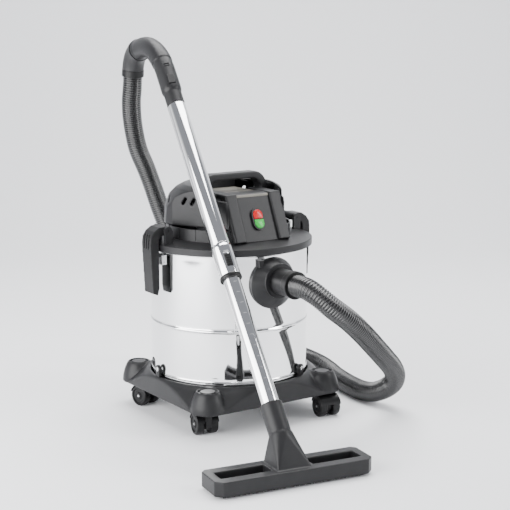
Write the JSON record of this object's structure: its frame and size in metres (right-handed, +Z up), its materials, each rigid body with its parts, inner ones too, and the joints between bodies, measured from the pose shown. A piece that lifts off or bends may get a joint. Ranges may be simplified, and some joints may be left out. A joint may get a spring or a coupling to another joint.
{
  "type": "shop vacuum",
  "caption": "Wet and dry shop vacuum: polished steel drum on a caster dolly, clamped motor head, corrugated hose, bent handle, telescopic wand and floor head.",
  "frame": {"origin": "on the floor under the drum's axis", "axes": "+Z up along the drum's axis; -Y is the front, with the hose inlet and the switch; +X is to the right of a person who faces the front"},
  "size_m": [0.6017, 0.7928, 0.7159],
  "materials": {
    "polished_steel": "mirror polished stainless sheet",
    "chrome_tube": "bright chrome plate",
    "charcoal_plastic": "fine satin moulded plastic",
    "grey_plastic": "satin moulded plastic",
    "black_plastic": "satin moulded plastic",
    "wheel_plastic": "hard nylon",
    "top_plastic": "satin moulded plastic",
    "red_cap": "glossy",
    "green_cap": "glossy",
    "hose_plastic": "corrugated flexible plastic",
    "soft_rubber": "matt",
    "bristle": "stiff bristle strip",
    "bare_steel": "zinc plated",
    "motor_steel": "laminated",
    "motor_copper": "lacquered copper winding",
    "fan_aluminium": "pressed sheet",
    "inner_plastic": "moulded plastic",
    "filter_paper": "pleated paper",
    "float_foam": "hollow plastic"
  },
  "bodies": {
    "vacuum": {"tank_shell": "polished_steel", "dolly_base": "charcoal_plastic", "caster_caps": "grey_plastic", "dolly_clips": "black_plastic", "clip_screws": "bare_steel", "inlet_flange": "charcoal_plastic", "inlet_deflector": "black_plastic", "latch_strikes": "bare_steel", "lid_gasket": "soft_rubber", "head_flange": "charcoal_plastic", "head_cover": "charcoal_plastic", "carry_handle": "charcoal_plastic", "switch_panel": "charcoal_plastic", "switch_bezel": "black_plastic", "switch_body": "inner_plastic", "top_panel": "top_plastic", "head_screws": "bare_steel", "motor_housing": "inner_plastic", "motor_stator": "motor_steel", "motor_bearings": "bare_steel", "filter_cage": "inner_plastic", "filter_cartridge": "filter_paper", "cable_gland": "black_plastic", "latch_pins": "bare_steel", "suction_hose": "hose_plastic"},
    "rotor": {"motor_shaft": "bare_steel", "motor_armature": "motor_copper", "motor_fan": "fan_aluminium"},
    "float": {"float_ball": "float_foam"},
    "left_latch": {"latch_left": "black_plastic"},
    "right_latch": {"latch_right": "black_plastic"},
    "stop_button": {"red_button": "red_cap"},
    "start_button": {"green_button": "green_cap"},
    "connector": {"hose_connector": "black_plastic"},
    "wand": {"handle_tube": "black_plastic", "hose_elbow": "grey_plastic", "outer_tube": "chrome_tube", "wand_bush": "soft_rubber", "wand_sleeve": "chrome_tube", "sleeve_ring": "black_plastic"},
    "collar": {"swivel_collar": "black_plastic"},
    "release": {"release_slider": "black_plastic"},
    "bleed": {"suction_slider": "black_plastic"},
    "lower_wand": {"inner_tube": "chrome_tube", "floor_head": "charcoal_plastic", "brush_strips": "bristle"},
    "caster_fl": {"caster_fork_fl": "black_plastic"},
    "wheels_fl": {"caster_axle_fl": "bare_steel", "caster_wheels_fl": "wheel_plastic"},
    "caster_fr": {"caster_fork_fr": "black_plastic"},
    "wheels_fr": {"caster_axle_fr": "bare_steel", "caster_wheels_fr": "wheel_plastic"},
    "caster_rl": {"caster_fork_rl": "black_plastic"},
    "wheels_rl": {"caster_axle_rl": "bare_steel", "caster_wheels_rl": "wheel_plastic"},
    "caster_rr": {"caster_fork_rr": "black_plastic"},
    "wheels_rr": {"caster_axle_rr": "bare_steel", "caster_wheels_rr": "wheel_plastic"}
  },
  "joints": [
    {"name": "caster_fl_swivel", "type": "hinge", "parent": "vacuum", "child": "caster_fl", "pos_m": [-0.1294, -0.1294, 0.05], "axis": [0, 0, 1], "continuous": true},
    {"name": "wheels_fl_spin", "type": "hinge", "parent": "caster_fl", "child": "wheels_fl", "pos_m": [-0.12627, -0.11167, 0.02], "axis": [-0.9848, 0.1736, 0], "continuous": true},
    {"name": "caster_fr_swivel", "type": "hinge", "parent": "vacuum", "child": "caster_fr", "pos_m": [0.1294, -0.1294, 0.05], "axis": [0, 0, 1], "continuous": true},
    {"name": "wheels_fr_spin", "type": "hinge", "parent": "caster_fr", "child": "wheels_fr", "pos_m": [0.1269, -0.14722, 0.02], "axis": [0.9903, -0.1392, 0], "continuous": true},
    {"name": "caster_rl_swivel", "type": "hinge", "parent": "vacuum", "child": "caster_rl", "pos_m": [-0.1294, 0.1294, 0.05], "axis": [0, 0, 1], "continuous": true},
    {"name": "wheels_rl_spin", "type": "hinge", "parent": "caster_rl", "child": "wheels_rl", "pos_m": [-0.12474, 0.11201, 0.02], "axis": [0.9659, 0.2588, 0], "continuous": true},
    {"name": "caster_rr_swivel", "type": "hinge", "parent": "vacuum", "child": "caster_rr", "pos_m": [0.1294, 0.1294, 0.05], "axis": [0, 0, 1], "continuous": true},
    {"name": "wheels_rr_spin", "type": "hinge", "parent": "caster_rr", "child": "wheels_rr", "pos_m": [0.1384, 0.14499, 0.02], "axis": [-0.866, 0.5, 0], "continuous": true},
    {"name": "motor_spin", "type": "hinge", "parent": "vacuum", "child": "rotor", "pos_m": [0, 0, 0.38], "axis": [0, 0, 1], "continuous": true},
    {"name": "float_rise", "type": "slide", "parent": "vacuum", "child": "float", "axis": [0, 0, 1], "range_m": [0, 0.065]},
    {"name": "left_latch_open", "type": "hinge", "parent": "vacuum", "child": "left_latch", "pos_m": [-0.146, 0, 0.368], "axis": [0, 1, 0], "range_deg": [0, 70]},
    {"name": "right_latch_open", "type": "hinge", "parent": "vacuum", "child": "right_latch", "pos_m": [0.146, 0, 0.368], "axis": [0, -1, 0], "range_deg": [0, 70]},
    {"name": "stop_press", "type": "slide", "parent": "vacuum", "child": "stop_button", "axis": [0, 0.9135, -0.4067], "range_m": [0, 0.0025], "stiffness_N_per_m": 400, "springref_m": -0.001},
    {"name": "start_press", "type": "slide", "parent": "vacuum", "child": "start_button", "axis": [0, 0.9135, -0.4067], "range_m": [0, 0.0025], "stiffness_N_per_m": 400, "springref_m": -0.001},
    {"name": "connector_twist", "type": "hinge", "parent": "vacuum", "child": "connector", "pos_m": [0, -0.2, 0.283], "axis": [0, -1, 0], "range_deg": [-30, 30]},
    {"name": "wand_lift", "type": "hinge", "parent": "vacuum", "child": "wand", "pos_m": [-0.14892, -0.44094, 0], "axis": [0.9899, -0.1421, 0], "range_deg": [0, 35]},
    {"name": "handle_collar_swivel", "type": "hinge", "parent": "wand", "child": "collar", "pos_m": [-0.04586, 0.28519, 0.64928], "axis": [0.0239, 0.1663, -0.9858], "continuous": true},
    {"name": "release_slide", "type": "slide", "parent": "wand", "child": "release", "axis": [0.092, 0.6406, 0.7623], "range_m": [0, 0.006], "stiffness_N_per_m": 300, "springref_m": -0.001},
    {"name": "bleed_slide", "type": "slide", "parent": "wand", "child": "bleed", "axis": [-0.092, -0.6406, -0.7623], "range_m": [0, 0.014]},
    {"name": "telescope", "type": "slide", "parent": "wand", "child": "lower_wand", "axis": [0.092, 0.6406, 0.7623], "range_m": [0, 0.18]}
  ]
}
